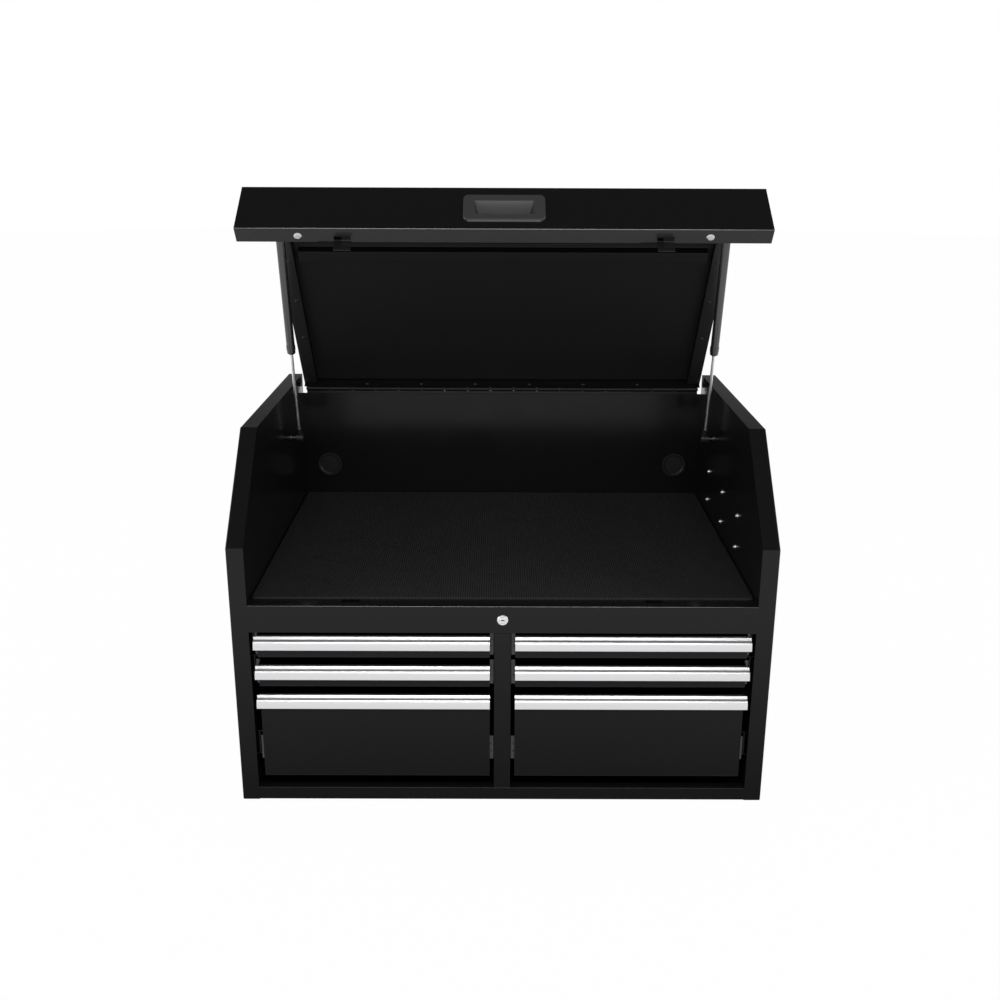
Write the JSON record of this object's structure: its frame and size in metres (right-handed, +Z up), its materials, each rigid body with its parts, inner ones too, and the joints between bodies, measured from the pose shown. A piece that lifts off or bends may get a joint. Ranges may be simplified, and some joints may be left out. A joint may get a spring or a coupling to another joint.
{
  "type": "combination tool chest",
  "caption": "Steel tool chest with a gas-strut lid over an open top compartment and two columns of full-width-pull drawers on ball-bearing slides.",
  "frame": {"origin": "middle of the case's rectangular footprint, on the surface it stands on (lid and pulls reach past the footprint)", "axes": "+X to the right seen from the front, +Y towards the back, +Z up; shown with the lid open and the drawers shut"},
  "size_m": [0.9144, 0.6752, 1.0381],
  "materials": {
    "black_enamel": "gloss black powder coat",
    "lid_enamel": "gloss black powder coat",
    "hinge_enamel": "satin black over steel",
    "mat_rubber": "fine ribbed mesh",
    "grommet_plastic": "moulded",
    "bezel_plastic": "fine grained",
    "pull_aluminium": "bright anodised, brushed lengthwise",
    "zinc_steel": "zinc plated",
    "stud_steel": "dark phosphated",
    "slide_steel": "zinc plated",
    "race_steel": "black zinc plated",
    "lock_chrome": "polished",
    "strut_black": "gloss black",
    "strut_rod_steel": "ground and polished",
    "socket_plastic": "glass-filled"
  },
  "bodies": {
    "case": {"left_side_skin": "black_enamel", "right_side_skin": "black_enamel", "side_liners": "black_enamel", "back_panel": "black_enamel", "bottom_pan": "black_enamel", "header_rail": "black_enamel", "centre_post": "black_enamel", "centre_partition": "black_enamel", "compartment_floor": "black_enamel", "floor_mat": "mat_rubber", "cable_grommets": "grommet_plastic", "side_bolts": "zinc_steel", "hinge_case_leaf": "hinge_enamel", "hinge_pin": "hinge_enamel", "lock_housing": "lock_chrome", "strut_wall_studs": "stud_steel", "slide_cabinet_members": "race_steel"},
    "lid": {"lid_shell": "lid_enamel", "handle_cup": "bezel_plastic", "lid_side_channels": "lid_enamel", "lid_stiffener": "lid_enamel", "lid_rivets": "lid_enamel", "lid_bumpers": "zinc_steel", "lid_hooks": "hinge_enamel", "hinge_lid_leaf": "hinge_enamel"},
    "lock_plug": {"lock_core": "lock_chrome", "lock_cam": "zinc_steel"},
    "lock_slider": {"lock_bar": "zinc_steel"},
    "strut_rod_body_left": {"strut_rod_left": "strut_rod_steel", "strut_lower_socket_left": "socket_plastic"},
    "strut_cylinder_body_left": {"strut_cylinder_left": "strut_black", "strut_upper_end_left": "socket_plastic"},
    "strut_rod_body_right": {"strut_rod_right": "strut_rod_steel", "strut_lower_socket_right": "socket_plastic"},
    "strut_cylinder_body_right": {"strut_cylinder_right": "strut_black", "strut_upper_end_right": "socket_plastic"},
    "drawer_top_left": {"drawer_tray_top_left": "black_enamel", "drawer_pull_top_left": "pull_aluminium", "slide_drawer_top_left": "slide_steel"},
    "slide_top_left": {"slide_middle_top_left": "race_steel"},
    "drawer_top_right": {"drawer_tray_top_right": "black_enamel", "drawer_pull_top_right": "pull_aluminium", "slide_drawer_top_right": "slide_steel"},
    "slide_top_right": {"slide_middle_top_right": "race_steel"},
    "drawer_middle_left": {"drawer_tray_middle_left": "black_enamel", "drawer_pull_middle_left": "pull_aluminium", "slide_drawer_middle_left": "slide_steel"},
    "slide_middle_left": {"slide_middle_middle_left": "race_steel"},
    "drawer_middle_right": {"drawer_tray_middle_right": "black_enamel", "drawer_pull_middle_right": "pull_aluminium", "slide_drawer_middle_right": "slide_steel"},
    "slide_middle_right": {"slide_middle_middle_right": "race_steel"},
    "drawer_bottom_left": {"drawer_tray_bottom_left": "black_enamel", "drawer_pull_bottom_left": "pull_aluminium", "slide_drawer_bottom_left": "slide_steel"},
    "slide_bottom_left": {"slide_middle_bottom_left": "race_steel"},
    "drawer_bottom_right": {"drawer_tray_bottom_right": "black_enamel", "drawer_pull_bottom_right": "pull_aluminium", "slide_drawer_bottom_right": "slide_steel"},
    "slide_bottom_right": {"slide_middle_bottom_right": "race_steel"}
  },
  "joints": [
    {"name": "lid_hinge", "type": "hinge", "parent": "case", "child": "lid", "pos_m": [0, 0.319, 0.6037], "axis": [1, 0, 0], "range_deg": [0, 53.5], "stiffness_Nm_per_rad": 30, "springref_deg": -114.59},
    {"name": "lock_turn", "type": "hinge", "parent": "case", "child": "lock_plug", "pos_m": [0, -0.32, 0.3445], "axis": [0, 1, 0], "range_deg": [0, 90]},
    {"name": "lock_bar_slide", "type": "slide", "parent": "case", "child": "lock_slider", "axis": [-1, 0, 0], "range_m": [0, 0.01414]},
    {"name": "strut_swing_left", "type": "hinge", "parent": "case", "child": "strut_rod_body_left", "pos_m": [-0.41, 0.154, 0.537], "axis": [1, 0, 0], "range_deg": [0, 63.26]},
    {"name": "strut_stroke_left", "type": "slide", "parent": "strut_rod_body_left", "child": "strut_cylinder_body_left", "axis": [0, -0.2353, 0.9719], "range_m": [-0.14781, 0]},
    {"name": "strut_swing_right", "type": "hinge", "parent": "case", "child": "strut_rod_body_right", "pos_m": [0.41, 0.154, 0.537], "axis": [1, 0, 0], "range_deg": [0, 63.26]},
    {"name": "strut_stroke_right", "type": "slide", "parent": "strut_rod_body_right", "child": "strut_cylinder_body_right", "axis": [0, -0.2353, 0.9719], "range_m": [-0.14781, 0]},
    {"name": "drawer_travel_top_left", "type": "slide", "parent": "case", "child": "drawer_top_left", "axis": [0, -1, 0], "range_m": [0, 0.52]},
    {"name": "slide_travel_top_left", "type": "slide", "parent": "case", "child": "slide_top_left", "axis": [0, -1, 0], "range_m": [0, 0.26]},
    {"name": "drawer_travel_top_right", "type": "slide", "parent": "case", "child": "drawer_top_right", "axis": [0, -1, 0], "range_m": [0, 0.52]},
    {"name": "slide_travel_top_right", "type": "slide", "parent": "case", "child": "slide_top_right", "axis": [0, -1, 0], "range_m": [0, 0.26]},
    {"name": "drawer_travel_middle_left", "type": "slide", "parent": "case", "child": "drawer_middle_left", "axis": [0, -1, 0], "range_m": [0, 0.52]},
    {"name": "slide_travel_middle_left", "type": "slide", "parent": "case", "child": "slide_middle_left", "axis": [0, -1, 0], "range_m": [0, 0.26]},
    {"name": "drawer_travel_middle_right", "type": "slide", "parent": "case", "child": "drawer_middle_right", "axis": [0, -1, 0], "range_m": [0, 0.52]},
    {"name": "slide_travel_middle_right", "type": "slide", "parent": "case", "child": "slide_middle_right", "axis": [0, -1, 0], "range_m": [0, 0.26]},
    {"name": "drawer_travel_bottom_left", "type": "slide", "parent": "case", "child": "drawer_bottom_left", "axis": [0, -1, 0], "range_m": [0, 0.52]},
    {"name": "slide_travel_bottom_left", "type": "slide", "parent": "case", "child": "slide_bottom_left", "axis": [0, -1, 0], "range_m": [0, 0.26]},
    {"name": "drawer_travel_bottom_right", "type": "slide", "parent": "case", "child": "drawer_bottom_right", "axis": [0, -1, 0], "range_m": [0, 0.52]},
    {"name": "slide_travel_bottom_right", "type": "slide", "parent": "case", "child": "slide_bottom_right", "axis": [0, -1, 0], "range_m": [0, 0.26]}
  ],
  "couplings": [
    {"joint": "lock_turn", "follows": "lock_bar_slide", "rad_per_m": 111.07},
    {"joint": "strut_swing_left", "follows": "lid_hinge", "ratio": 1.1823},
    {"joint": "strut_stroke_left", "follows": "lid_hinge", "m_per_rad": -0.15825},
    {"joint": "strut_swing_right", "follows": "lid_hinge", "ratio": 1.1823},
    {"joint": "strut_stroke_right", "follows": "lid_hinge", "m_per_rad": -0.15825},
    {"joint": "slide_travel_top_left", "follows": "drawer_travel_top_left", "ratio": 0.5},
    {"joint": "slide_travel_top_right", "follows": "drawer_travel_top_right", "ratio": 0.5},
    {"joint": "slide_travel_middle_left", "follows": "drawer_travel_middle_left", "ratio": 0.5},
    {"joint": "slide_travel_middle_right", "follows": "drawer_travel_middle_right", "ratio": 0.5},
    {"joint": "slide_travel_bottom_left", "follows": "drawer_travel_bottom_left", "ratio": 0.5},
    {"joint": "slide_travel_bottom_right", "follows": "drawer_travel_bottom_right", "ratio": 0.5}
  ]
}
